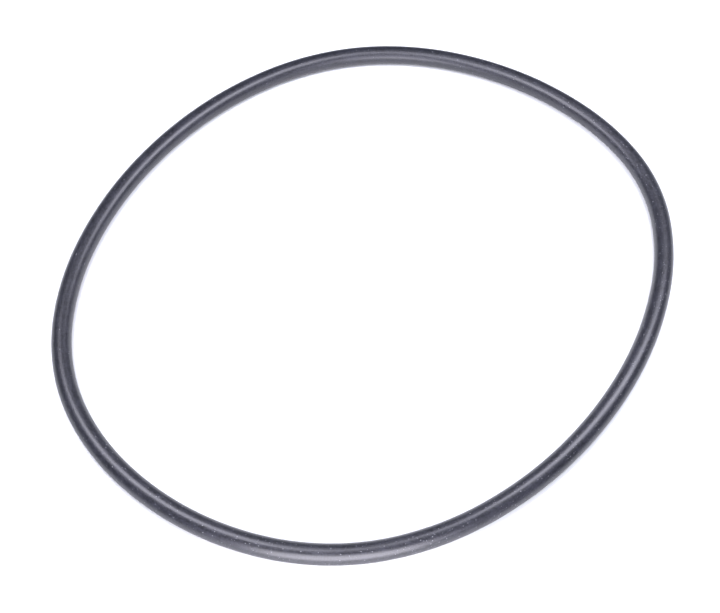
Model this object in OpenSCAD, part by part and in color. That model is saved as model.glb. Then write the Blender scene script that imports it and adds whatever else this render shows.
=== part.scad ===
// A rubber sealing ring of round cord, lying loose on a flat surface.
// The cord keeps its length and its round section, and the loop rests a little out of round.
// Millimetres, +Z up. The origin is on the surface, under the middle of the loop.
// +X is to the right and +Y away from someone who looks at the ring from the front.

/* [Ring] */
// Inside diameter of the ring when it is held perfectly round
inside_d = 104.37; // [92:0.01:120]
// Diameter of the round cord
cord_d = 3.53; // [2:0.01:5.5]

/* [How the loop lies] */
// How far the two ends of the long way stand out past a true circle
oval_out = 3.8; // [0:0.1:5]
// Direction of the long way, in degrees from +X towards +Y
oval_dir = 44; // [0:0.5:180]
// How far three blunt corners stand out past a true circle
three_out = 0.34; // [0:0.01:0.8]
// Direction of the first of the three blunt corners, in degrees from +X
three_dir = 8.5; // [0:0.5:120]
// How far four blunt corners stand out past a true circle
four_out = 0.83; // [0:0.01:1.2]
// Direction of the first of the four blunt corners, in degrees from +X
four_dir = 12; // [0:0.5:90]

/* [Hidden] */

// Radius of the cord's middle line when the ring is round
mid_r = (inside_d + cord_d) / 2;
// Each row is the number of lobes, how far they stand out, and the direction of the first
lobes = [[2, oval_out, oval_dir], [3, three_out, three_dir], [4, four_out, four_dir]];

// The loop is a closed chain of bends that run smoothly into each other, all of the same sweep
bends = 24;
sweep = 360 / bends;
quarter = bends / 4;
// Facets of the preview, round the cord and round a full bend
cord_facets = 48;
bend_facets = 240;
// Moves are split at hundredths of a millimetre
grid = 0.01;

rubber = [0.25, 0.25, 0.29];

function sum(v, i = 0) = i < len(v) ? v[i] + sum(v, i + 1) : 0;
function toward(angle) = [cos(angle), sin(angle), 0];

// Radius of bend i. A loop that stands out by d * cos(n * angle) past a circle bends less there,
// by (n * n - 1) * d * cos(n * angle). Two or more lobes leave the chain closed, at its full length.
function bend_r(i) =
  let (angle = (i + 0.5) * sweep)
  mid_r - sum([for (l = lobes) (l[0] * l[0] - 1) * l[1] * cos(l[0] * (angle - l[2]))]);

// Centre of bend i. Two neighbours have their centres in line with the place where they meet.
function centre(i) =
  i == 0 ? [0, 0, 0] : centre(i - 1) + (bend_r(i - 1) - bend_r(i)) * toward(i * sweep);

// Where bend i starts, on the cord's middle line
function start_of(i) = centre(i) + bend_r(i) * toward(i * sweep);

// Middle of the loop. It reaches furthest to each side where a quarter of the bends ends.
middle = [
  (start_of(0).x + start_of(2 * quarter).x) / 2,
  (start_of(quarter).y + start_of(3 * quarter).y) / 2,
  0
];

// Moves its children by a coarse and a fine step, so that no digit is lost on the way
// and the ends of neighbouring bends meet exactly.
module shift(v) {
  coarse = [for (x = v) round(x / grid) * grid];
  translate(coarse) translate(v - coarse) children();
}

module bend(i) {
  shift(centre(i) - middle + [0, 0, cord_d / 2])
    rotate_extrude(angle = sweep, start = i * sweep, $fn = bend_facets)
      shift([bend_r(i), 0, 0])
        circle(d = cord_d, $fn = cord_facets);
}

module o_ring() {
  color(rubber)
    for (i = [0 : bends - 1]) bend(i);
}

o_ring();
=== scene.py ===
"""A rubber sealing ring of round cord, lying loose on a pale floor.

The ring is swept bend by bend with the spin tool and gets a satin black rubber.
Four soft lights and a camera are set up round it as on a studio table.
"""

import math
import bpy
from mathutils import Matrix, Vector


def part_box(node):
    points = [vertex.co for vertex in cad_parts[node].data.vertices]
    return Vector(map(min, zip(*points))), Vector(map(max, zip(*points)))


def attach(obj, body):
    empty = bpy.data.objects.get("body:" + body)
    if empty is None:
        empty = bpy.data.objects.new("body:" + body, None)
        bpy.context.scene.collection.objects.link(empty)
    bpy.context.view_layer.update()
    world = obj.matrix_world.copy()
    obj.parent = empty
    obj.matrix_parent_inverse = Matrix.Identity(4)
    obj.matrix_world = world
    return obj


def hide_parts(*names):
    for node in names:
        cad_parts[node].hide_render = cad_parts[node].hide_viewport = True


bl_info = {
    "name": "Rubber Sealing Ring",
    "version": (1, 0, 0),
    "blender": (4, 5, 0),
    "location": "3D View > Sidebar > Sealing Ring",
    "description": "Models a rubber sealing ring that lies a little out of round, with its stage",
    "category": "Add Mesh",
}

import bpy
from bpy.props import FloatProperty, FloatVectorProperty, PointerProperty
from mathutils import Quaternion, Vector

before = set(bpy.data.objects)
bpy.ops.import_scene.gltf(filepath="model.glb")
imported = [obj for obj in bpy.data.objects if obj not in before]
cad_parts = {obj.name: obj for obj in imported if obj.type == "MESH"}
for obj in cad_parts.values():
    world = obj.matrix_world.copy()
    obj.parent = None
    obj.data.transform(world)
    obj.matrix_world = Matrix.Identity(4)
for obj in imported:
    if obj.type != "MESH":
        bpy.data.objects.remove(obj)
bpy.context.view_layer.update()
cad_low, cad_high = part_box("o_ring")

# The loop is a closed chain of bends of the same sweep, as in the solid that it dresses
BENDS = 24
SWEEP = 2 * math.pi / BENDS
STEPS_PER_BEND = 16
CORD_SIDES = 64
# Vertices nearer than this are one, in metres
MERGE_DISTANCE = 1e-6
# How far the finished ring may be from the solid's box, in metres
BOX_TOLERANCE = 0.0001
CORD_MAP = "cord_map"

# Sizes of what shows in the rubber, in metres
CLOUD_SIZE = 0.0025
CLOUD_DEPTH = 0.00001
MOTTLE_SIZE = 0.0003
GRAIN_SIZE = 0.00012
GRAIN_DEPTH = 0.000003
STREAK_LENGTH = 0.009
STREAK_WIDTH = 0.00025
STREAK_DEPTH = 0.000004
DUST_SPACING = 0.0005
DUST_RADIUS = (0.00004, 0.00009)
DUST_EDGE = 0.00012
DUST_DEPTH = 0.00002
# Share of the possible specks that are there, at the bare side and at the dusty one,
# and the direction of the dusty one
DUST_SHARE = (0.05, 1.0)
DUST_SIDE = (0.68, -0.73, 0.0)
DUST_ROUGHNESS = 0.8
# The noise at which a pattern starts to show, and at which it shows in full
STREAK_CONTRAST = (0.45, 0.75)
PATCH_CONTRAST = (0.35, 0.65)
# How many finer layers a noise has in the patches, in the grain and streaks, and at the dust's edges
PATCH_DETAIL = 3.0
FINE_DETAIL = 2.0
EDGE_DETAIL = 1.0
# Share of the clouds over the streaks in the pale film, and of the mottle over both
CLOUD_SHARE = 0.5
MOTTLE_SHARE = 0.6
# Index of refraction of the rubber's skin, which sets how strongly it shines
RUBBER_IOR = 1.6

FLOOR_ROUGHNESS = 0.9
# Width of the camera's sensor in millimetres, and the nearest place that it shows in metres
SENSOR_WIDTH = 36.0
NEAREST_VIEW = 0.01

# The lights: where each stands, the point that it faces, its width and height, how far it is turned
# about its own axis, and its colour
LEFT_LIGHT = {
    "place": (-0.066, -0.002, 0.146),
    "aim": (0.028, 0.018, 0.0),
    "size": (0.079, 0.12),
    "turn": math.radians(-22),
    "color": (0.88, 0.87, 1.0),
}
RIGHT_LIGHT = {
    "place": (0.087, 0.031, 0.142),
    "aim": (0.076, 0.035, 0.0),
    "size": (0.061, 0.121),
    "turn": math.radians(20),
    "color": (0.87, 0.865, 1.0),
}
FRONT_LIGHT = {
    "place": (-0.004, -0.084, 0.02),
    "aim": (-0.009, 0.049, 0.0),
    "size": (0.057, 0.0355),
    "turn": 0.0,
    "color": (0.96, 0.94, 1.0),
}
FILL_LIGHT = {
    "place": (-0.003, -0.339, 0.105),
    "aim": (-0.041, 0.019, 0.0),
    "size": (0.417, 0.311),
    "turn": math.radians(45),
    "color": (0.84, 0.82, 1.0),
}
ROOM_COLOR = (0.8, 0.87, 1.0)
HAZE_COLOR = (0.72, 0.79, 1.0)


class RingSettings(bpy.types.PropertyGroup):
    """Sizes of the ring and the way its loop lies"""

    inside_diameter: FloatProperty(
        name="Inside Diameter",
        description="Inside diameter of the ring when it is held perfectly round",
        default=0.10437,
        min=0.092,
        max=0.12,
        precision=5,
        unit="LENGTH",
    )
    cord_diameter: FloatProperty(
        name="Cord Diameter",
        description="Diameter of the round cord",
        default=cad_high.z - cad_low.z,
        min=0.002,
        max=0.0055,
        precision=5,
        unit="LENGTH",
    )
    oval_out: FloatProperty(
        name="Oval",
        description="How far the two ends of the long way stand out past a true circle",
        default=0.0038,
        min=0.0,
        max=0.005,
        precision=5,
        unit="LENGTH",
    )
    oval_direction: FloatProperty(
        name="Oval Direction",
        description="Direction of the long way, from +X towards +Y",
        default=math.radians(44),
        min=0.0,
        max=math.pi,
        subtype="ANGLE",
    )
    three_out: FloatProperty(
        name="Three Corners",
        description="How far three blunt corners stand out past a true circle",
        default=0.00034,
        min=0.0,
        max=0.0008,
        precision=5,
        unit="LENGTH",
    )
    three_direction: FloatProperty(
        name="Three Corners Direction",
        description="Direction of the first of the three blunt corners, from +X",
        default=math.radians(8.5),
        min=0.0,
        max=math.radians(120),
        subtype="ANGLE",
    )
    four_out: FloatProperty(
        name="Four Corners",
        description="How far four blunt corners stand out past a true circle",
        default=0.00083,
        min=0.0,
        max=0.0012,
        precision=5,
        unit="LENGTH",
    )
    four_direction: FloatProperty(
        name="Four Corners Direction",
        description="Direction of the first of the four blunt corners, from +X",
        default=math.radians(12),
        min=0.0,
        max=math.radians(90),
        subtype="ANGLE",
    )


class RubberSettings(bpy.types.PropertyGroup):
    """Colour and finish of the rubber"""

    black: FloatVectorProperty(
        name="Rubber",
        description="Colour of the moulded rubber",
        default=(0.0043, 0.0043, 0.006),
        min=0.0,
        max=1.0,
        size=3,
        subtype="COLOR",
    )
    bloom: FloatVectorProperty(
        name="Bloom",
        description="Colour of the pale film on such rubber, in fine spots, patches and streaks",
        default=(0.023, 0.023, 0.032),
        min=0.0,
        max=1.0,
        size=3,
        subtype="COLOR",
    )
    dust: FloatVectorProperty(
        name="Dust",
        description="Colour of the fine specks of dust",
        default=(0.18, 0.18, 0.193),
        min=0.0,
        max=1.0,
        size=3,
        subtype="COLOR",
    )
    polish: FloatProperty(
        name="Roughness",
        description="Roughness where the surface is smoothest",
        default=0.33,
        min=0.0,
        max=1.0,
        subtype="FACTOR",
    )
    dull: FloatProperty(
        name="Roughness of the Bloom",
        description="Roughness where the pale film is thickest",
        default=0.43,
        min=0.0,
        max=1.0,
        subtype="FACTOR",
    )


class StageSettings(bpy.types.PropertyGroup):
    """Floor, lights and camera"""

    floor_color: FloatVectorProperty(
        name="Floor",
        description="Colour of the floor",
        default=(0.72, 0.72, 0.7),
        min=0.0,
        max=1.0,
        size=3,
        subtype="COLOR",
    )
    floor_size: FloatProperty(
        name="Floor Size",
        description="Length of a side of the floor",
        default=6.0,
        min=0.5,
        unit="LENGTH",
    )
    left_glow: FloatProperty(
        name="Left Light",
        description="Brightness of the soft light above the left side, where white is 1",
        default=10.42,
        min=0.0,
    )
    right_glow: FloatProperty(
        name="Right Light",
        description="Brightness of the soft light above the right side, where white is 1",
        default=13.79,
        min=0.0,
    )
    front_glow: FloatProperty(
        name="Front Light",
        description="Brightness of the low soft light in front, where white is 1",
        default=6.65,
        min=0.0,
    )
    fill_glow: FloatProperty(
        name="Fill Light",
        description="Brightness of the broad dim light further in front, where white is 1",
        default=3.93,
        min=0.0,
    )
    room_glow: FloatProperty(
        name="Room",
        description="Brightness of the pale room round the table, where white is 1",
        default=0.88,
        min=0.0,
    )
    haze_glow: FloatProperty(
        name="Haze",
        description="Brightness of the room as the ring reflects it, where white is 1",
        default=0.243,
        min=0.0,
    )
    camera_target: FloatVectorProperty(
        name="Camera Target",
        description="Point that the camera looks at",
        default=(-0.00173, -0.00719, 0.001765),
        size=3,
        precision=5,
        subtype="TRANSLATION",
        unit="LENGTH",
    )
    camera_distance: FloatProperty(
        name="Camera Distance",
        description="Distance from the camera to its target",
        default=0.233,
        min=0.1,
        precision=5,
        unit="LENGTH",
    )
    camera_pitch: FloatProperty(
        name="Camera Pitch",
        description="How steeply the camera looks down, from the horizon",
        default=math.radians(57.03),
        min=0.0,
        max=math.pi / 2,
        subtype="ANGLE",
    )
    camera_lens: FloatProperty(
        name="Lens",
        description="Focal length in millimetres, on a sensor 36 mm wide",
        default=65.0,
        min=10.0,
        unit="CAMERA",
    )


def toward(angle):
    """Unit vector at this angle from +X towards +Y."""
    return Vector((math.cos(angle), math.sin(angle), 0.0))


def bend_radius(ring, i):
    """Radius of the cord's middle line in bend i.

    A loop that stands out by d * cos(n * angle) past a circle bends less there,
    by (n * n - 1) * d * cos(n * angle).
    """
    lobes = (
        (2, ring.oval_out, ring.oval_direction),
        (3, ring.three_out, ring.three_direction),
        (4, ring.four_out, ring.four_direction),
    )
    angle = (i + 0.5) * SWEEP
    radius = (ring.inside_diameter + ring.cord_diameter) / 2
    for n, out, first in lobes:
        radius -= (n * n - 1) * out * math.cos(n * (angle - first))
    return radius


def bend_plan(ring):
    """Centre and radius of each bend, with the loop in the middle and the cord lying on the floor.

    Two neighbours have their centres in line with the place where they meet,
    so they run smoothly into each other.
    """
    radii = [bend_radius(ring, i) for i in range(BENDS)]
    centres = [Vector()]
    for i in range(1, BENDS):
        centres.append(centres[-1] + (radii[i - 1] - radii[i]) * toward(i * SWEEP))
    starts = [centres[i] + radii[i] * toward(i * SWEEP) for i in range(BENDS)]
    right, back, left, front = starts[:: BENDS // 4]
    shift = Vector((-(right.x + left.x) / 2, -(back.y + front.y) / 2, ring.cord_diameter / 2))
    return [(centre + shift, radius) for centre, radius in zip(centres, radii)]


def sweep_cord(ring):
    """Stands a round section at the right-hand end and spins it on through every bend."""
    plan = bend_plan(ring)
    centre, radius = plan[0]
    bpy.ops.object.select_all(action="DESELECT")
    bpy.ops.mesh.primitive_circle_add(
        vertices=CORD_SIDES,
        radius=ring.cord_diameter / 2,
        calc_uvs=False,
        location=centre + radius * toward(0),
        rotation=(math.pi / 2, 0, 0),
    )
    piece = bpy.context.active_object
    bpy.ops.object.transform_apply(location=True, rotation=True, scale=True)
    bpy.ops.object.mode_set(mode="EDIT")
    bpy.ops.mesh.select_all(action="SELECT")
    for centre, _ in plan:
        # A negative angle goes from +X towards +Y here. The new end stays selected for the next bend.
        bpy.ops.mesh.spin(steps=STEPS_PER_BEND, angle=-SWEEP, center=centre, axis=(0, 0, 1))
    bpy.ops.object.mode_set(mode="OBJECT")
    return piece


def map_cord(piece, ring):
    """Gives the cord a UV map.

    U is the share of its length and V the share of the way round its section.
    """
    distance = [0.0]
    for _, radius in bend_plan(ring):
        for _ in range(STEPS_PER_BEND):
            distance.append(distance[-1] + radius * SWEEP / STEPS_PER_BEND)
    mesh = piece.data
    layer = mesh.uv_layers.new(name=CORD_MAP)
    for face in mesh.polygons:
        sides = [mesh.loops[i].vertex_index % CORD_SIDES for i in face.loop_indices]
        wraps = max(sides) - min(sides) > 1
        for i, side in zip(face.loop_indices, sides):
            section = mesh.loops[i].vertex_index // CORD_SIDES
            around = side + CORD_SIDES if wraps and side == 0 else side
            layer.data[i].uv = (distance[section] / distance[-1], around / CORD_SIDES)


def close_loop(piece):
    """Joins the last ring of vertices to the first, turns the faces outwards and smooths them."""
    bpy.ops.object.mode_set(mode="EDIT")
    bpy.ops.mesh.select_all(action="SELECT")
    bpy.ops.mesh.remove_doubles(threshold=MERGE_DISTANCE)
    bpy.ops.mesh.normals_make_consistent(inside=False)
    bpy.ops.object.mode_set(mode="OBJECT")
    bpy.ops.object.shade_smooth()
    if len(piece.data.vertices) != BENDS * STEPS_PER_BEND * CORD_SIDES:
        raise RuntimeError("The chain of bends did not close on itself")


def check_against_solid(piece):
    """Stops if the ring is not where the solid that it dresses is."""
    for axis in range(3):
        places = [v.co[axis] for v in piece.data.vertices]
        error = max(abs(min(places) - cad_low[axis]), abs(max(places) - cad_high[axis]))
        if error > BOX_TOLERANCE:
            raise RuntimeError("The ring does not match the solid that it dresses")


def put(tree, kind, inputs=None, **settings):
    """Adds a node, sets its options, and fills its inputs with values or links."""
    node = tree.nodes.new(kind)
    for option, value in settings.items():
        setattr(node, option, value)
    for socket, value in (inputs or {}).items():
        if isinstance(value, bpy.types.NodeSocket):
            tree.links.new(value, node.inputs[socket])
        else:
            node.inputs[socket].default_value = value
    return node


def math_node(tree, operation, a, b=0.0):
    """The result of one operation on one or two values."""
    return put(tree, "ShaderNodeMath", {0: a, 1: b}, operation=operation).outputs["Value"]


def vector_math(tree, operation, a, b):
    """The result of one operation on two vectors."""
    return put(tree, "ShaderNodeVectorMath", {0: a, 1: b}, operation=operation).outputs["Vector"]


def between(tree, value, low, high, to_low=0.0, to_high=1.0):
    """Value taken from the range low..high to the range to_low..to_high, smoothly and no further."""
    inputs = {"Value": value, "From Min": low, "From Max": high, "To Min": to_low, "To Max": to_high}
    return put(tree, "ShaderNodeMapRange", inputs, interpolation_type="SMOOTHSTEP").outputs["Result"]


def mix_values(tree, share, a, b):
    """A where share is 0 and B where it is 1."""
    inputs = {"Factor": share, "A": a, "B": b}
    return put(tree, "ShaderNodeMix", inputs, data_type="FLOAT").outputs["Result"]


def mix_colors(tree, share, a, b):
    """Color A where share is 0 and color B where it is 1."""
    # A mix node has its color sockets behind those for values
    factor, color_a, color_b, color_out = 0, 6, 7, 2
    node = put(tree, "ShaderNodeMix", {factor: share, color_a: a, color_b: b}, data_type="RGBA")
    return node.outputs[color_out]


def noise(tree, place, size, detail):
    """A noise whose blots are about this size, in metres, as a value and as a color."""
    inputs = {"Vector": place, "Scale": 1 / size, "Detail": detail}
    return put(tree, "ShaderNodeTexNoise", inputs).outputs


def bump(tree, height, depth, normal=None):
    """A normal that is bent by a relief of this depth, in metres."""
    inputs = {"Height": height, "Distance": depth}
    if normal is not None:
        inputs["Normal"] = normal
    return put(tree, "ShaderNodeBump", inputs).outputs["Normal"]


def new_material(name):
    """An empty node material and its node tree."""
    material = bpy.data.materials.new(name)
    material.use_nodes = True
    material.node_tree.nodes.clear()
    return material, material.node_tree


def circle_of(tree, share, radius):
    """Where a share of a full turn lies on a circle, so that a pattern on it has no seam."""
    angle = math_node(tree, "MULTIPLY", share, 2 * math.pi)
    across = math_node(tree, "MULTIPLY", math_node(tree, "COSINE", angle), radius)
    up = math_node(tree, "MULTIPLY", math_node(tree, "SINE", angle), radius)
    return across, up


def draw_streaks(tree, ring):
    """Fine streaks that run along the cord and close on themselves both along it and around it."""
    cord_map = put(tree, "ShaderNodeUVMap", uv_map=CORD_MAP).outputs["UV"]
    shares = put(tree, "ShaderNodeSeparateXYZ", {"Vector": cord_map}).outputs
    # The loop is as long as the round ring, because the bulges leave its length as it was
    loop_radius = (ring.inside_diameter + ring.cord_diameter) / 2
    along = circle_of(tree, shares["X"], loop_radius / STREAK_LENGTH)
    around = circle_of(tree, shares["Y"], ring.cord_diameter / 2 / STREAK_WIDTH)
    point = {"X": along[0], "Y": along[1], "Z": around[0]}
    place = put(tree, "ShaderNodeCombineXYZ", point).outputs["Vector"]
    # The circles are already as large as the streaks need
    inputs = {"Vector": place, "W": around[1], "Scale": 1.0, "Detail": FINE_DETAIL}
    streaks = put(tree, "ShaderNodeTexNoise", inputs, noise_dimensions="4D").outputs["Fac"]
    return between(tree, streaks, *STREAK_CONTRAST)


def scatter_dust(tree, place):
    """Specks of dust, most of them at the front right. 1 on a speck and 0 between them."""
    # A fine noise, centred on zero, pushes each place a little, so that the specks are ragged
    ragged = noise(tree, place, DUST_EDGE, EDGE_DETAIL)["Color"]
    pushed = vector_math(tree, "SUBTRACT", ragged, (0.5, 0.5, 0.5))
    pushed = vector_math(tree, "MULTIPLY", pushed, (DUST_EDGE, DUST_EDGE, DUST_EDGE))
    bent = vector_math(tree, "ADD", place, pushed)
    cells = put(tree, "ShaderNodeTexVoronoi", {"Vector": bent, "Scale": 1 / DUST_SPACING})
    # Each cell has a colour drawn by lot. Green gives the speck's size, and red whether it is there.
    drawn = put(tree, "ShaderNodeSeparateColor", {"Color": cells.outputs["Color"]}).outputs
    smallest, largest = [size / DUST_SPACING for size in DUST_RADIUS]
    radius = mix_values(tree, drawn["Green"], smallest, largest)
    speck = math_node(tree, "LESS_THAN", cells.outputs["Distance"], radius)
    lean = put(tree, "ShaderNodeVectorMath", {0: place, 1: DUST_SIDE}, operation="DOT_PRODUCT")
    share = between(tree, lean.outputs["Value"], cad_low.x, cad_high.x, *DUST_SHARE)
    kept = math_node(tree, "LESS_THAN", drawn["Red"], share)
    return math_node(tree, "MULTIPLY", speck, kept)


def rubber_material(rubber, ring):
    """Satin black rubber with a faint film, fine streaks along the cord and specks of dust."""
    material, tree = new_material("nitrile_rubber")
    place = put(tree, "ShaderNodeTexCoord").outputs["Object"]
    clouds = noise(tree, place, CLOUD_SIZE, PATCH_DETAIL)["Fac"]
    mottle = noise(tree, place, MOTTLE_SIZE, PATCH_DETAIL)["Fac"]
    grain = noise(tree, place, GRAIN_SIZE, FINE_DETAIL)["Fac"]
    streaks = draw_streaks(tree, ring)
    dust = scatter_dust(tree, place)

    film = mix_values(tree, CLOUD_SHARE, streaks, between(tree, clouds, *PATCH_CONTRAST))
    film = mix_values(tree, MOTTLE_SHARE, film, between(tree, mottle, *PATCH_CONTRAST))
    color = mix_colors(tree, film, (*rubber.black, 1.0), (*rubber.bloom, 1.0))
    color = mix_colors(tree, dust, color, (*rubber.dust, 1.0))
    roughness = mix_values(tree, film, rubber.polish, rubber.dull)
    roughness = mix_values(tree, dust, roughness, DUST_ROUGHNESS)

    relief = bump(tree, clouds, CLOUD_DEPTH)
    relief = bump(tree, streaks, STREAK_DEPTH, normal=relief)
    relief = bump(tree, grain, GRAIN_DEPTH, normal=relief)
    relief = bump(tree, dust, DUST_DEPTH, normal=relief)
    surface = put(
        tree,
        "ShaderNodeBsdfPrincipled",
        {"Base Color": color, "Roughness": roughness, "IOR": RUBBER_IOR, "Normal": relief},
    )
    put(tree, "ShaderNodeOutputMaterial", {"Surface": surface.outputs["BSDF"]})
    return material


class SEALING_RING_OT_make_ring(bpy.types.Operator):
    """Sweep the cord round the loop, smooth it and give it its rubber"""

    bl_idname = "sealing_ring.make_ring"
    bl_label = "Make Ring"
    bl_options = {"REGISTER", "UNDO"}

    def execute(self, context):
        ring = context.scene.sealing_ring
        piece = sweep_cord(ring)
        piece.name = "rubber_ring"
        piece.data.name = "rubber_ring"
        map_cord(piece, ring)
        close_loop(piece)
        check_against_solid(piece)
        piece.data.materials.append(rubber_material(context.scene.sealing_ring_rubber, ring))
        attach(piece, "root")
        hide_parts("o_ring")
        return {"FINISHED"}


def floor_material(stage):
    """Plain pale floor."""
    material, tree = new_material("pale_floor")
    inputs = {
        "Base Color": (*stage.floor_color, 1.0),
        "Roughness": FLOOR_ROUGHNESS,
        "Specular IOR Level": 0.0,
    }
    surface = put(tree, "ShaderNodeBsdfPrincipled", inputs)
    put(tree, "ShaderNodeOutputMaterial", {"Surface": surface.outputs["BSDF"]})
    return material


def lay_floor(stage):
    """A flat square floor under the ring."""
    bpy.ops.object.select_all(action="DESELECT")
    bpy.ops.mesh.primitive_plane_add(size=stage.floor_size)
    floor = bpy.context.active_object
    floor.name = "floor"
    floor.data.materials.append(floor_material(stage))


def hang_light(name, glow, place, aim, size, turn, color):
    """A flat soft light. Its glow is its brightness, where white is 1."""
    facing = (Vector(place) - Vector(aim)).to_track_quat("Z", "Y") @ Quaternion((0.0, 0.0, 1.0), turn)
    bpy.ops.object.light_add(type="AREA", location=place, rotation=facing.to_euler())
    light = bpy.context.active_object
    light.name = name
    light.visible_camera = False
    light.data.shape = "RECTANGLE"
    light.data.size = size[0]
    light.data.size_y = size[1]
    light.data.energy = glow * math.pi * size[0] * size[1]
    light.data.color = color


def light_room(stage):
    """A pale room round the table, of which the ring reflects only a dim haze."""
    world = bpy.data.worlds.new("room")
    bpy.context.scene.world = world
    world.use_nodes = True
    tree = world.node_tree
    tree.nodes.clear()
    pale = put(tree, "ShaderNodeBackground", {"Color": (*ROOM_COLOR, 1.0), "Strength": stage.room_glow})
    haze = put(tree, "ShaderNodeBackground", {"Color": (*HAZE_COLOR, 1.0), "Strength": stage.haze_glow})
    reflected = put(tree, "ShaderNodeLightPath").outputs["Is Glossy Ray"]
    shaders = {0: reflected, 1: pale.outputs["Background"], 2: haze.outputs["Background"]}
    both = put(tree, "ShaderNodeMixShader", shaders)
    put(tree, "ShaderNodeOutputWorld", {"Surface": both.outputs["Shader"]})


def place_camera(stage):
    """Looks at the target from the front, down at the camera's pitch, without roll."""
    pitch = stage.camera_pitch
    back = Vector((0.0, -math.cos(pitch), math.sin(pitch)))
    place = Vector(stage.camera_target) + stage.camera_distance * back
    bpy.ops.object.camera_add(location=place, rotation=(math.pi / 2 - pitch, 0.0, 0.0))
    camera = bpy.context.active_object
    camera.name = "camera"
    camera.data.lens = stage.camera_lens
    camera.data.sensor_width = SENSOR_WIDTH
    camera.data.clip_start = NEAREST_VIEW
    camera.data.clip_end = 2 * stage.floor_size
    bpy.context.scene.camera = camera


class SEALING_RING_OT_make_stage(bpy.types.Operator):
    """Lay the floor, hang the lights and set up the camera"""

    bl_idname = "sealing_ring.make_stage"
    bl_label = "Make Stage"
    bl_options = {"REGISTER", "UNDO"}

    def execute(self, context):
        stage = context.scene.sealing_ring_stage
        lay_floor(stage)
        hang_light("left_light", stage.left_glow, **LEFT_LIGHT)
        hang_light("right_light", stage.right_glow, **RIGHT_LIGHT)
        hang_light("front_light", stage.front_glow, **FRONT_LIGHT)
        hang_light("fill_light", stage.fill_glow, **FILL_LIGHT)
        light_room(stage)
        place_camera(stage)
        context.scene.view_settings.view_transform = "Standard"
        return {"FINISHED"}


class SEALING_RING_PT_panel(bpy.types.Panel):
    """Settings of the sealing ring and its stage"""

    bl_idname = "SEALING_RING_PT_panel"
    bl_label = "Sealing Ring"
    bl_space_type = "VIEW_3D"
    bl_region_type = "UI"
    bl_category = "Sealing Ring"

    def draw(self, context):
        layout = self.layout
        scene = context.scene
        for title, settings, operator in (
            ("Ring", scene.sealing_ring, "sealing_ring.make_ring"),
            ("Rubber", scene.sealing_ring_rubber, None),
            ("Stage", scene.sealing_ring_stage, "sealing_ring.make_stage"),
        ):
            box = layout.box()
            box.label(text=title)
            for name in settings.__annotations__:
                box.prop(settings, name)
            if operator:
                box.operator(operator)


CLASSES = (
    RingSettings,
    RubberSettings,
    StageSettings,
    SEALING_RING_OT_make_ring,
    SEALING_RING_OT_make_stage,
    SEALING_RING_PT_panel,
)


def register():
    """Registers the classes and puts their settings on the scene."""
    for item in CLASSES:
        bpy.utils.register_class(item)
    bpy.types.Scene.sealing_ring = PointerProperty(type=RingSettings)
    bpy.types.Scene.sealing_ring_rubber = PointerProperty(type=RubberSettings)
    bpy.types.Scene.sealing_ring_stage = PointerProperty(type=StageSettings)


def unregister():
    """Takes the settings off the scene again, and then the classes."""
    del bpy.types.Scene.sealing_ring_stage
    del bpy.types.Scene.sealing_ring_rubber
    del bpy.types.Scene.sealing_ring
    for item in reversed(CLASSES):
        bpy.utils.unregister_class(item)


def main():
    """Builds the ring and its stage."""
    register()
    bpy.ops.sealing_ring.make_ring()
    bpy.ops.sealing_ring.make_stage()


if __name__ == "__main__":
    main()
